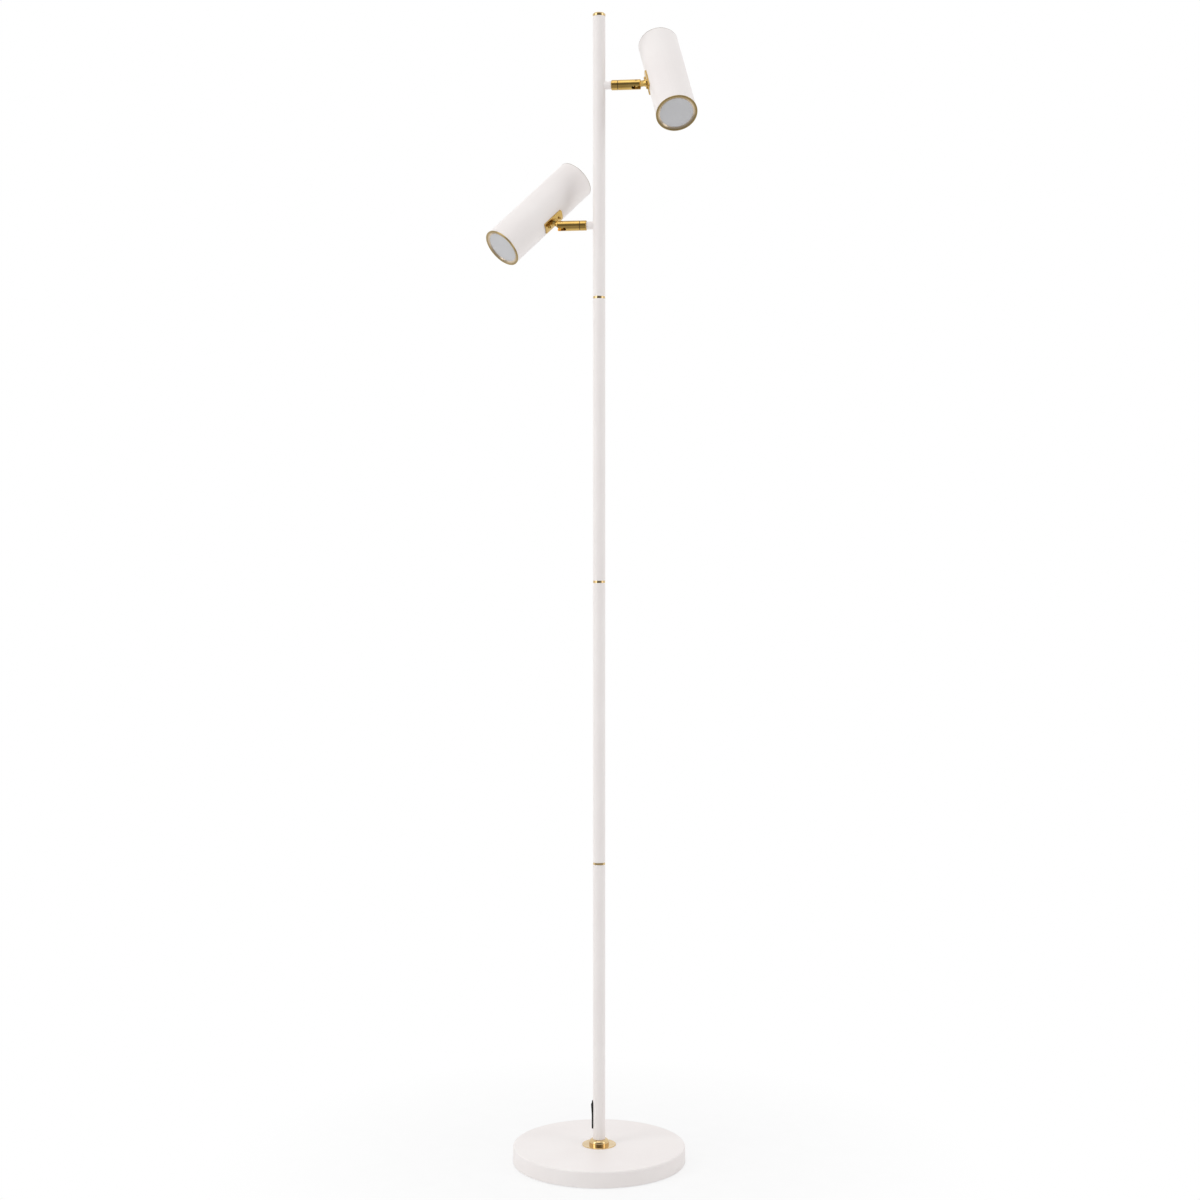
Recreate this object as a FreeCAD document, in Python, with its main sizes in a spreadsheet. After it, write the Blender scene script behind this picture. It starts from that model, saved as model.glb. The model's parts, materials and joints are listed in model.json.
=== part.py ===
import FreeCAD, Part
import math
import os
import re
import Sketcher

# Floor lamp with two adjustable spotlights on a sectioned pole, in millimetres.
# Frame: the origin is on the floor under the middle of the pole and +Z is up.
# The upper arm points along +X, the lower arm along -X, and the front of the lamp is -Y.

DIMENSIONS = {
    # Round base: a painted cover over an iron weight, on a rubber pad.
    "base_diameter": 224,
    "base_height": 21.5,
    "cover_lift": 1.0,
    "cover_wall": 1.2,
    "cover_round": 2.0,
    "pad_diameter": 216,
    "pad_thickness": 2.0,
    "weight_clearance": 0.4,
    "recess_diameter": 34,
    "recess_roof": 16,
    "channel_width": 10,
    "channel_roof": 11,
    # Fixing of the pole: flange, threaded tube, washer and nut.
    "flange_diameter": 44,
    "flange_thickness": 1.0,
    "flange_chamfer": 0.4,
    "collar_diameter": 26,
    "collar_height": 6.8,
    "collar_round": 4.2,
    "socket_floor": 4.2,
    "socket_length": 18,
    "nipple_diameter": 10,
    "nipple_bore": 7,
    "nipple_foot": 8.5,
    "washer_diameter": 30,
    "washer_thickness": 2,
    "base_nut_width": 17,
    "base_nut_thickness": 5,
    # Cable gland at the back of the base, and the lead inside the lamp.
    "gland_height": 6,
    "gland_neck": 7,
    "gland_flange": 8.8,
    "gland_flange_thickness": 1.5,
    "gland_inner_length": 4,
    "lead_entry": 3,
    "lead_diameter": 3.4,
    "lead_bend": 5,
    # Pole: four tube sections joined by turned rings, and a cap.
    "pole_diameter": 16,
    "pole_wall": 1.0,
    "section_length": 362,
    "top_section_length": 356.5,
    "ring_diameter": 15.8,
    "ring_height": 3,
    "spigot_length": 16,
    "spigot_bore": 8,
    "cap_diameter": 16.4,
    "cap_height": 4.2,
    "cap_chamfer": 1.4,
    "cap_plug_length": 8,
    # Rocker switch on the pole.
    "switch_height": 60.5,
    "switch_length": 37,
    "switch_width": 7.6,
    "switch_face": 9.2,
    "switch_round": 3.4,
    "switch_box_length": 31,
    "switch_box_width": 6.2,
    "switch_box_depth": 3.4,
    "switch_wall": 0.7,
    "rocker_gap": 0.3,
    "rocker_pivot": 7.0,
    "rocker_pin_diameter": 1.6,
    "rocker_end_face": 9.6,
    "rocker_middle_face": 9.4,
    "rocker_tilt": 3,
    # Arms: measured outwards from the middle of the pole.
    "upper_arm_height": 1389.5,
    "lower_arm_height": 1211.8,
    "stub_diameter": 10,
    "stub_end": 16,
    "barrel_diameter": 13,
    "barrel_chamfer": 0.6,
    "collar_end": 24.2,
    "swivel_washer_diameter": 11.6,
    "swivel_washer_thickness": 0.7,
    "arm_nipple_diameter": 6,
    "arm_nipple_bore": 4,
    "arm_nipple_start": 4,
    "arm_nipple_end": 31.5,
    "arm_nut_width": 8,
    "arm_nut_start": 2.8,
    "arm_nut_thickness": 2.4,
    "barrel_floor": 28,
    "barrel_bore": 9.2,
    "swivel_nut_diameter": 8.4,
    "swivel_nut_thickness": 3,
    "slot_start": 42.3,
    "slot_width": 5.2,
    "cheek_start": 43.3,
    "pivot_reach": 48.3,
    "barrel_end": 53.7,
    "pivot_diameter": 3,
    # Knuckle and saddle: measured from the pivot towards the spot.
    "tongue_thickness": 5,
    "eye_radius": 3.9,
    "neck_width": 6.4,
    "boss_start": 8.9,
    "boss_small_radius": 3.8,
    "boss_large_radius": 5.2,
    "spigot_diameter": 5,
    "knuckle_spigot_end": 19.6,
    "saddle_length": 33,
    "saddle_width": 16,
    "saddle_thickness": 1.8,
    "saddle_round": 1.5,
    "saddle_screw_pitch": 20,
    "screw_diameter": 3,
    "screw_head_diameter": 4.8,
    "screw_head_height": 1.6,
    "screw_end": 18.6,
    "knuckle_nut_width": 8,
    "knuckle_nut_thickness": 2.6,
    # Spotlights: measured along their own axis from abreast of the pivot.
    "spot_offset": 40.2,
    "spot_diameter": 51.8,
    "spot_wall": 2,
    "spot_front": 73.5,
    "spot_rear": 76.5,
    "bezel_diameter": 52.8,
    "bezel_length": 1.6,
    "bezel_edge": 0.4,
    "bezel_rim": 2.4,
    "bezel_window": 42.6,
    "bezel_slope": 1.3,
    "bezel_sleeve": 6,
    "bezel_seat_diameter": 45,
    "bezel_lip": 1.8,
    "diffuser_thickness": 2,
    "rear_ring_diameter": 52.0,
    "rear_ring_bore": 48.8,
    "rear_ring_thickness": 0.7,
    "rear_cap_recess": 0.3,
    "rear_cap_sleeve": 6,
    "reflector_depth": 25,
    "reflector_mouth": 44,
    "reflector_throat": 12,
    "reflector_wall": 1,
    "board_diameter": 32,
    "board_thickness": 1.6,
    "chip_diameter": 9,
    "sink_plate": 4,
    "sink_fin_length": 17,
    "sink_fin_thickness": 1.8,
    "sink_core_diameter": 16,
    "driver_length": 42,
    "driver_width": 30,
    "driver_depth": 22,
    # Room between pieces: turning fits, thread and push fits, and faces that slide.
    "fit_gap": 0.05,
    "slide_gap": 0.1,
    # Angles in degrees as the lamp stands: how far below level each fork opens,
    # and how far each spot is tilted outwards.
    "upper_swivel": 49,
    "lower_swivel": 52.5,
    "upper_tilt": 13,
    "lower_tilt": 34,
}

SHEET_NAME = "Size"
FINS = 10
TOLERANCE = 1e-4

doc = FreeCAD.newDocument("SpotFloorLamp")
sheet = doc.addObject("Spreadsheet::Sheet", SHEET_NAME)
for row, (alias, amount) in enumerate(DIMENSIONS.items(), start=1):
    sheet.set(f"A{row}", alias)
    sheet.set(f"B{row}", str(amount))
    sheet.setAlias(f"B{row}", alias)
doc.recompute()

pieces = []


# --- Expressions, sketches and features ---------------------------------------------------


def bound(expression):
    """The expression with each dimension's name pointed at the spreadsheet."""
    return re.sub(r"[a-z][a-z_]+", lambda word: f"{SHEET_NAME}.{word.group()}", str(expression))


def size(expression):
    """The value of an expression of dimension names."""
    return float(sheet.evalExpression(str(expression)))


def new_body(label, placement=FreeCAD.Placement()):
    body = doc.addObject("PartDesign::Body", label)
    body.Label = label
    body.Placement = placement
    pieces.append(body)
    return body


def new_sketch(body, role):
    plane = next(item for item in body.Origin.OriginFeatures if item.Role == role)
    sketch = body.newObject("Sketcher::SketchObject", f"{body.Name}_sketch")
    sketch.AttachmentSupport = [(plane, "")]
    sketch.MapMode = "FlatFace"
    return sketch


def pin_point(sketch, geometry, point, across, up):
    """Hold a point of the sketch at two expressions from the sketch's origin."""
    for kind, expression, axis in (("DistanceX", across, -2), ("DistanceY", up, -1)):
        amount = size(expression)
        if abs(amount) < TOLERANCE:
            sketch.addConstraint(Sketcher.Constraint("PointOnObject", geometry, point, axis))
            continue
        ends = (-1, 1, geometry, point) if amount > 0 else (geometry, point, -1, 1)
        text = bound(expression) if amount > 0 else f"-({bound(expression)})"
        index = sketch.addConstraint(Sketcher.Constraint(kind, *ends, abs(amount)))
        sketch.setExpression(f"Constraints[{index}]", text)


def outline(body, role, corners):
    """A closed sketch of straight edges whose corners are pairs of expressions."""
    sketch = new_sketch(body, role)
    places = [FreeCAD.Vector(size(across), size(up), 0) for across, up in corners]
    count = len(places)
    for index in range(count):
        sketch.addGeometry(Part.LineSegment(places[index], places[(index + 1) % count]), False)
    for index in range(count):
        sketch.addConstraint(Sketcher.Constraint("Coincident", index, 2, (index + 1) % count, 1))
    for index, (across, up) in enumerate(corners):
        pin_point(sketch, index, 1, across, up)
    return sketch


def rings(body, role, circles):
    """A sketch of circles, each (diameter, across, up) as expressions."""
    sketch = new_sketch(body, role)
    for index, (diameter, across, up) in enumerate(circles):
        centre = FreeCAD.Vector(size(across), size(up), 0)
        radius = size(diameter) / 2
        sketch.addGeometry(Part.Circle(centre, FreeCAD.Vector(0, 0, 1), radius), False)
        held = sketch.addConstraint(Sketcher.Constraint("Diameter", index, radius * 2))
        sketch.setExpression(f"Constraints[{held}]", bound(diameter))
        pin_point(sketch, index, 3, across, up)
    return sketch


def box_corners(left, right, low, high):
    return [(left, low), (right, low), (right, high), (left, high)]


def revolve(body, corners):
    """Turn an outline of (radius, height) pairs about the body's own Z axis."""
    sketch = outline(body, "XZ_Plane", corners)
    feature = body.newObject("PartDesign::Revolution", f"{body.Name}_turn")
    feature.Profile = sketch
    feature.ReferenceAxis = (sketch, ["V_Axis"])
    feature.Angle = 360
    doc.recompute()
    return feature


def pad(body, sketch, length, both_ways=False):
    feature = body.newObject("PartDesign::Pad", f"{body.Name}_pad")
    feature.Profile = sketch
    feature.SideType = "Symmetric" if both_ways else "One side"
    feature.setExpression("Length", bound(length))
    doc.recompute()
    return feature


def pocket(body, sketch, length, both_ways=False, towards_normal=False):
    before = body.Shape.Volume
    feature = body.newObject("PartDesign::Pocket", f"{body.Name}_pocket")
    feature.Profile = sketch
    feature.Type = "Length"
    feature.Midplane = both_ways
    feature.Reversed = towards_normal
    feature.setExpression("Length", bound(length))
    doc.recompute()
    if not body.Shape.Volume < before - TOLERANCE:
        raise ValueError(f"a pocket of {body.Label} cuts nothing")
    return feature


def soften(body, kind, amount, wanted):
    """Round ("Fillet") or bevel ("Chamfer") the edges of the body that the test picks."""
    base = body.Tip
    names = [f"Edge{number}" for number, edge in enumerate(base.Shape.Edges, start=1) if wanted(edge)]
    if not names:
        raise ValueError(f"no edges to soften on {body.Label}")
    feature = body.newObject(f"PartDesign::{kind}", f"{body.Name}_{kind.lower()}")
    feature.Base = (base, names)
    feature.setExpression("Radius" if kind == "Fillet" else "Size", bound(amount))
    doc.recompute()
    return feature


def rim(diameter, height):
    """A test for the round edge about Z of a given diameter at a given height."""
    radius, level = size(diameter) / 2, size(height)

    def test(edge):
        curve = edge.Curve
        return (
            isinstance(curve, Part.Circle)
            and abs(curve.Radius - radius) < TOLERANCE
            and abs(curve.Center.z - level) < TOLERANCE
            and math.hypot(curve.Center.x, curve.Center.y) < TOLERANCE
        )

    return test


def along(direction, least=0):
    """A test for straight edges in a direction that are longer than a length."""

    def test(edge):
        if not isinstance(edge.Curve, Part.Line) or edge.Length < least:
            return False
        return abs(abs(edge.Curve.Direction.dot(direction)) - 1) < TOLERANCE

    return test


def hexagon(body, role, width):
    """A six-sided sketch about the origin, given across its flats."""
    half, side = f"{width} / 2", f"{width} / 2 / 0.8660254"
    corners = [
        (half, f"-{side} / 2"),
        (half, f"{side} / 2"),
        ("0", side),
        (f"-{half}", f"{side} / 2"),
        (f"-{half}", f"-{side} / 2"),
        ("0", f"-{side}"),
    ]
    return outline(body, role, corners)


def group_of_solids(label, members):
    """One sub-part made of separate, like solids."""
    compound = doc.addObject("Part::Compound", label)
    compound.Label = label
    compound.Links = members
    pieces.append(compound)
    return compound


def take_out(members):
    """Leave bodies that are only members of a group out of the list of sub-parts."""
    for member in members:
        pieces.remove(member)
    return members


def shifted(z):
    return FreeCAD.Placement(FreeCAD.Vector(0, 0, z), FreeCAD.Rotation())


# --- Base ---------------------------------------------------------------------------------


def make_base_cover():
    body = new_body("base_cover")
    inner = "base_diameter / 2 - cover_wall"
    hole = "nipple_diameter / 2 + fit_gap"
    revolve(body, [
        (hole, "base_height - cover_wall"),
        (inner, "base_height - cover_wall"),
        (inner, "cover_lift"),
        ("base_diameter / 2", "cover_lift"),
        ("base_diameter / 2", "base_height"),
        (hole, "base_height"),
    ])
    soften(body, "Fillet", "cover_round", rim("base_diameter", "base_height"))
    port = rings(body, "XZ_Plane", [("gland_neck + 2 * fit_gap", "0", "gland_height")])
    pocket(body, port, "base_diameter")


def make_base_weight():
    body = new_body("base_weight")
    edge = "base_diameter / 2 - cover_wall - weight_clearance"
    top = "base_height - cover_wall"
    revolve(body, [
        ("recess_diameter / 2", "pad_thickness"),
        (edge, "pad_thickness"),
        (edge, f"{top} - cover_round"),
        (f"{edge} - cover_round", top),
        ("nipple_diameter / 2 + fit_gap", top),
        ("nipple_diameter / 2 + fit_gap", "recess_roof"),
        ("recess_diameter / 2", "recess_roof"),
    ])
    half = "channel_width / 2"
    channel = outline(body, "XZ_Plane", box_corners(f"-{half}", half, "pad_thickness", "channel_roof"))
    pocket(body, channel, "base_diameter")


def make_foot_pad():
    body = new_body("foot_pad")
    pad(body, rings(body, "XY_Plane", [("pad_diameter", "0", "0")]), "pad_thickness")


def make_base_flange():
    body = new_body("base_flange")
    plate_top = "base_height + flange_thickness"
    collar_top = f"{plate_top} + collar_height"
    socket = "pole_diameter / 2 + fit_gap"
    revolve(body, [
        ("nipple_diameter / 2 + fit_gap", "base_height"),
        ("flange_diameter / 2", "base_height"),
        ("flange_diameter / 2", plate_top),
        ("collar_diameter / 2", plate_top),
        ("collar_diameter / 2", collar_top),
        (socket, collar_top),
        (socket, "base_height + socket_floor"),
        ("nipple_diameter / 2 + fit_gap", "base_height + socket_floor"),
    ])
    soften(body, "Chamfer", "flange_chamfer", rim("flange_diameter", plate_top))
    soften(body, "Fillet", "collar_round", rim("collar_diameter", collar_top))


def make_pole_fixing():
    foot = "base_height + socket_floor"
    socket = new_body("pole_socket")
    revolve(socket, box_corners(
        "nipple_diameter / 2 + fit_gap", "pole_diameter / 2 - pole_wall - fit_gap", foot, f"{foot} + socket_length"
    ))
    nipple = new_body("base_nipple")
    revolve(nipple, box_corners(
        "nipple_bore / 2", "nipple_diameter / 2", "nipple_foot", f"{foot} + socket_length - fit_gap"
    ))
    washer = new_body("base_washer")
    revolve(washer, box_corners(
        "nipple_diameter / 2 + fit_gap", "washer_diameter / 2", "recess_roof - washer_thickness", "recess_roof"
    ))
    nut = new_body("base_nut", shifted(size("recess_roof - washer_thickness - base_nut_thickness")))
    pad(nut, hexagon(nut, "XY_Plane", "base_nut_width"), "base_nut_thickness")
    bore = rings(nut, "XY_Plane", [("nipple_diameter + 2 * fit_gap", "0", "0")])
    pocket(nut, bore, "base_nut_thickness", towards_normal=True)


def make_cord_gland():
    """A bush in the rear wall of the cover, built about the direction that the cable takes."""
    rearward = FreeCAD.Rotation(FreeCAD.Vector(1, 0, 0), -90)
    place = FreeCAD.Placement(FreeCAD.Vector(0, 0, size("gland_height")), rearward)
    body = new_body("cord_gland", place)
    wall = "base_diameter / 2"
    inside = f"{wall} - cover_wall - slide_gap"
    back = f"{inside} - gland_inner_length"
    bore = "lead_diameter / 2 + fit_gap"
    revolve(body, [
        (bore, back),
        ("gland_flange / 2 - 0.6", back),
        ("gland_flange / 2", inside),
        ("gland_neck / 2", inside),
        ("gland_neck / 2", wall),
        ("gland_flange / 2", wall),
        ("gland_flange / 2 - 0.6", f"{wall} + gland_flange_thickness"),
        (bore, f"{wall} + gland_flange_thickness"),
    ])


# --- Pole ---------------------------------------------------------------------------------


def section_foot(number):
    """Expression of the height at which a pole section starts, the lowest being 1."""
    return f"base_height + socket_floor + {number - 1} * (section_length + ring_height)"


def bracket_frame(side, height):
    """The frame of an arm's fixed pieces: Z outwards along the arm and X up."""
    outwards = FreeCAD.Vector(side, 0, 0)
    upwards = FreeCAD.Vector(0, 0, 1)
    turn = FreeCAD.Rotation(upwards, outwards.cross(upwards), outwards, "ZXY")
    return FreeCAD.Placement(FreeCAD.Vector(0, 0, height), turn)


def make_pole_sections():
    inner = "pole_diameter / 2 - pole_wall"
    for number in range(1, 5):
        length = "top_section_length" if number == 4 else "section_length"
        foot = section_foot(number)
        tube = new_body(f"pole_tube_{number}")
        revolve(tube, box_corners(inner, "pole_diameter / 2", foot, f"{foot} + {length}"))
        if number == 1:
            half, reach = "switch_box_width / 2 + fit_gap", "switch_box_length / 2 + fit_gap"
            window = outline(tube, "YZ_Plane", box_corners(
                f"-({half})", half, f"switch_height - ({reach})", f"switch_height + {reach}"
            ))
            pocket(tube, window, "pole_diameter")
        if number == 4:
            hole = "arm_nipple_diameter + 2 * fit_gap"
            upper = rings(tube, "YZ_Plane", [(hole, "0", "upper_arm_height")])
            pocket(tube, upper, "pole_diameter", towards_normal=True)
            lower = rings(tube, "YZ_Plane", [(hole, "0", "lower_arm_height")])
            pocket(tube, lower, "pole_diameter")


def make_pole_rings():
    """Turned rings with a plug up and a plug down, which join the tube sections."""
    plug = "pole_diameter / 2 - pole_wall - fit_gap"
    for number in range(1, 4):
        low = f"{section_foot(number)} + section_length"
        high = f"{low} + ring_height"
        ring = new_body(f"pole_ring_{number}")
        revolve(ring, [
            ("spigot_bore / 2", f"{low} - spigot_length"),
            (plug, f"{low} - spigot_length"),
            (plug, low),
            ("ring_diameter / 2", low),
            ("ring_diameter / 2", high),
            (plug, high),
            (plug, f"{high} + spigot_length"),
            ("spigot_bore / 2", f"{high} + spigot_length"),
        ])


def make_top_cap():
    body = new_body("top_cap")
    low = f"{section_foot(4)} + top_section_length"
    plug = "pole_diameter / 2 - pole_wall - fit_gap"
    revolve(body, [
        ("0", f"{low} - cap_plug_length"),
        (plug, f"{low} - cap_plug_length"),
        (plug, low),
        ("cap_diameter / 2", low),
        ("cap_diameter / 2", f"{low} + cap_height - cap_chamfer"),
        ("cap_diameter / 2 - cap_chamfer", f"{low} + cap_height"),
        ("0", f"{low} + cap_height"),
    ])


def make_pole_lead():
    """The lead inside the lamp: in from the gland, up the pole and out into both arms."""
    bend, level = size("lead_bend"), size("gland_height")
    start = size("base_diameter / 2 - lead_entry")
    top, branch = size("upper_arm_height"), size("lower_arm_height")
    reach, radius = size("arm_nipple_end"), size("lead_diameter / 2")
    slant = bend * (1 - math.sqrt(0.5))
    points = [
        FreeCAD.Vector(0, start, level),
        FreeCAD.Vector(0, bend, level),
        FreeCAD.Vector(0, slant, level + slant),
        FreeCAD.Vector(0, 0, level + bend),
        FreeCAD.Vector(0, 0, top - bend),
        FreeCAD.Vector(slant, 0, top - slant),
        FreeCAD.Vector(bend, 0, top),
        FreeCAD.Vector(reach, 0, top),
    ]
    route = Part.Wire([
        Part.LineSegment(points[0], points[1]).toShape(),
        Part.Arc(points[1], points[2], points[3]).toShape(),
        Part.LineSegment(points[3], points[4]).toShape(),
        Part.Arc(points[4], points[5], points[6]).toShape(),
        Part.LineSegment(points[6], points[7]).toShape(),
    ])
    section = Part.Wire(Part.Circle(points[0], FreeCAD.Vector(0, 1, 0), radius).toShape())
    trunk = route.makePipeShell([section], True, False)
    spur = Part.makeCylinder(radius, reach, FreeCAD.Vector(0, 0, branch), FreeCAD.Vector(-1, 0, 0))
    lead = doc.addObject("Part::Feature", "pole_lead")
    lead.Label = "pole_lead"
    lead.Shape = trunk.fuse(spur)
    pieces.append(lead)


# --- Switch -------------------------------------------------------------------------------


def switch_frame():
    """X up the pole, Z out of the pole at the switch, from the pole's axis."""
    return bracket_frame(-1, size("switch_height"))


def make_switch_housing():
    body = new_body("switch_housing", switch_frame())
    pad(body, outline(body, "XY_Plane", box_corners(
        "-switch_length / 2", "switch_length / 2", "-switch_width / 2", "switch_width / 2"
    )), "switch_face")
    soften(body, "Fillet", "switch_round", along(FreeCAD.Vector(0, 0, 1)))
    pole = rings(body, "YZ_Plane", [("pole_diameter", "0", "0")])
    pocket(body, pole, "2 * switch_length", both_ways=True)
    box = outline(body, "XY_Plane", box_corners(
        "-switch_box_length / 2", "switch_box_length / 2", "-switch_box_width / 2", "switch_box_width / 2"
    ))
    pad(body, box, "switch_face")
    deep = outline(body, "XY_Plane", box_corners(
        "-switch_length", "switch_length", "-switch_width", "switch_width"
    ))
    pocket(body, deep, "switch_box_depth", towards_normal=True)
    length, width = "switch_box_length / 2 - switch_wall", "switch_box_width / 2 - switch_wall"
    well = outline(body, "XY_Plane", box_corners(f"-({length})", length, f"-({width})", width))
    well.AttachmentOffset = shifted(size("switch_box_depth + switch_wall"))
    pocket(body, well, "switch_face", towards_normal=True)
    socket = rings(body, "XZ_Plane", [("rocker_pin_diameter + 2 * fit_gap", "0", "rocker_pivot")])
    pocket(body, socket, "switch_box_width - 2 * slide_gap", both_ways=True)


def make_switch_rocker():
    """The rocker with its two moulded trunnions, pressed in at its lower end."""
    tilt = FreeCAD.Rotation(FreeCAD.Vector(0, 1, 0), -size("rocker_tilt"))
    centre = FreeCAD.Vector(0, 0, size("rocker_pivot"))
    rocking = FreeCAD.Placement(centre, tilt)
    body = new_body("switch_rocker", switch_frame().multiply(rocking))
    end = "switch_box_length / 2 - switch_wall - rocker_gap"
    ends_high, middle_high = "rocker_end_face - rocker_pivot", "rocker_middle_face - rocker_pivot"
    profile = outline(body, "XZ_Plane", [
        (f"-({end})", "0.9"),
        ("-4", "-1.4"),
        ("4", "-1.4"),
        (end, "0.9"),
        (end, ends_high),
        ("0", middle_high),
        (f"-({end})", ends_high),
    ])
    pad(body, profile, "switch_box_width - 2 * (switch_wall + slide_gap)", both_ways=True)
    soften(body, "Fillet", "rocker_gap", along(FreeCAD.Vector(0, 1, 0), size("switch_box_width / 2")))
    pins = rings(body, "XZ_Plane", [("rocker_pin_diameter", "0", "0")])
    pad(body, pins, "switch_box_width - 4 * slide_gap", both_ways=True)


# --- Arms ---------------------------------------------------------------------------------


def fork_frame(side, height, swivel):
    """The frame of a turned arm: Z outwards, Y the way that its fork opens, X along its pin."""
    outwards = FreeCAD.Vector(side, 0, 0)
    angle = math.radians(swivel)
    opening = FreeCAD.Vector(0, -math.cos(angle), -math.sin(angle))
    turn = FreeCAD.Rotation(opening.cross(outwards), opening, outwards, "ZXY")
    return FreeCAD.Placement(FreeCAD.Vector(0, 0, height), turn)


def make_bracket(name, frame):
    """The pieces of an arm that stay with the pole."""
    stub = new_body(f"{name}_stub", frame)
    revolve(stub, box_corners(
        "arm_nipple_diameter / 2 + fit_gap", "stub_diameter / 2", "pole_diameter / 4", "stub_end"
    ))
    pole = rings(stub, "YZ_Plane", [("pole_diameter", "0", "0")])
    pocket(stub, pole, "2 * stub_diameter", both_ways=True)
    collar = new_body(f"{name}_collar", frame)
    revolve(collar, box_corners(
        "arm_nipple_diameter / 2 + fit_gap", "barrel_diameter / 2", "stub_end", "collar_end"
    ))
    soften(collar, "Chamfer", "barrel_chamfer", rim("barrel_diameter", "stub_end"))
    nipple = new_body(f"{name}_nipple", frame)
    revolve(nipple, box_corners(
        "arm_nipple_bore / 2", "arm_nipple_diameter / 2", "arm_nipple_start", "arm_nipple_end"
    ))


def make_barrel(name, frame):
    """The fork that swivels on the bracket, and the pin across it."""
    barrel = new_body(f"{name}_barrel", frame)
    start = "collar_end + swivel_washer_thickness + fit_gap"
    revolve(barrel, [
        ("arm_nipple_diameter / 2 + slide_gap", start),
        ("barrel_diameter / 2", start),
        ("barrel_diameter / 2", "barrel_end"),
        ("barrel_bore / 2", "barrel_end"),
        ("barrel_bore / 2", "barrel_floor"),
        ("arm_nipple_diameter / 2 + slide_gap", "barrel_floor"),
    ])
    soften(barrel, "Chamfer", "barrel_chamfer", rim("barrel_diameter", "barrel_end"))
    cheeks = rings(barrel, "XY_Plane", [("barrel_bore + 1", "0", "0")])
    cheeks.AttachmentOffset = shifted(size("cheek_start"))
    pad(barrel, cheeks, "barrel_end - cheek_start")
    bend = "slot_start + slot_width / 2"
    slot = outline(barrel, "XZ_Plane", box_corners("-slot_width / 2", "slot_width / 2", bend, "barrel_end + 1"))
    pocket(barrel, slot, "2 * barrel_diameter", both_ways=True)
    slot_end = rings(barrel, "XZ_Plane", [("slot_width", "0", bend)])
    pocket(barrel, slot_end, "2 * barrel_diameter", both_ways=True)
    hole = rings(barrel, "YZ_Plane", [("pivot_diameter", "0", "pivot_reach")])
    pocket(barrel, hole, "2 * barrel_diameter", both_ways=True)
    across = FreeCAD.Rotation(FreeCAD.Vector(0, 1, 0), 90)
    centre = FreeCAD.Vector(0, 0, size("pivot_reach"))
    pin = new_body(f"{name}_pivot_pin", frame.multiply(FreeCAD.Placement(centre, across)))
    length = "barrel_diameter - 1"
    pad(pin, rings(pin, "XY_Plane", [("pivot_diameter", "0", "0")]), length, both_ways=True)
    soften(pin, "Chamfer", "fit_gap * 6", lambda edge: isinstance(edge.Curve, Part.Circle))


def make_arm_fasteners(frames):
    """The nuts inside the pole, and the washers and nuts that hold each fork on its bracket."""
    washers, pole_nuts, swivel_nuts = [], [], []
    for name, frame in frames.items():
        washer = new_body(f"{name}_swivel_washer", frame)
        revolve(washer, box_corners(
            "arm_nipple_diameter / 2 + fit_gap",
            "swivel_washer_diameter / 2",
            "collar_end",
            "collar_end + swivel_washer_thickness",
        ))
        washers.append(washer)
        lift = shifted(size("arm_nut_start"))
        pole_nut = new_body(f"{name}_pole_nut", frame.multiply(lift))
        pad(pole_nut, hexagon(pole_nut, "XY_Plane", "arm_nut_width"), "arm_nut_thickness")
        bore = rings(pole_nut, "XY_Plane", [("arm_nipple_diameter + 2 * fit_gap", "0", "0")])
        pocket(pole_nut, bore, "arm_nut_thickness", towards_normal=True)
        pole_nuts.append(pole_nut)
        swivel_nut = new_body(f"{name}_swivel_nut", frame)
        low = "barrel_floor + fit_gap"
        revolve(swivel_nut, box_corners(
            "arm_nipple_diameter / 2 + fit_gap", "swivel_nut_diameter / 2", low, f"{low} + swivel_nut_thickness"
        ))
        swivel_nuts.append(swivel_nut)
    group_of_solids("swivel_washers", take_out(washers))
    group_of_solids("pole_nuts", take_out(pole_nuts))
    group_of_solids("swivel_nuts", take_out(swivel_nuts))


# --- Knuckle and saddle -------------------------------------------------------------------


def head_frame(fork, tilt):
    """The frame of a tilted head at its pivot: Z towards the spot's axis, Y to its front."""
    reach = FreeCAD.Vector(0, 0, size("pivot_reach"))
    turn = FreeCAD.Rotation(FreeCAD.Vector(1, 0, 0), tilt)
    return fork.multiply(FreeCAD.Placement(reach, turn))


def make_knuckle(name, head):
    """The tongue in the fork, with a flared foot that sits on the saddle plate."""
    body = new_body(f"{name}_knuckle", head)
    eye = rings(body, "YZ_Plane", [("2 * eye_radius", "0", "0")])
    pad(body, eye, "tongue_thickness", both_ways=True)
    half = "neck_width / 2"
    neck = outline(body, "YZ_Plane", box_corners(f"-{half}", half, "0", "boss_start + 1"))
    pad(body, neck, "tongue_thickness", both_ways=True)
    foot = "spot_offset - spot_diameter / 2"
    revolve(body, [
        ("0", "boss_start"),
        ("boss_small_radius", "boss_start"),
        ("boss_large_radius", f"{foot} - saddle_thickness - 0.8"),
        ("boss_large_radius", f"{foot} + saddle_thickness"),
        ("0", f"{foot} + saddle_thickness"),
    ])
    seat = rings(body, "XZ_Plane", [("spot_diameter + 2 * saddle_thickness", "0", "spot_offset")])
    pocket(body, seat, "4 * boss_large_radius", both_ways=True)
    revolve(body, box_corners("0", "spigot_diameter / 2", "boss_start + 2", "knuckle_spigot_end"))
    hole = rings(body, "YZ_Plane", [("pivot_diameter + 2 * fit_gap", "0", "0")])
    pocket(body, hole, "2 * tongue_thickness", both_ways=True)


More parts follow.
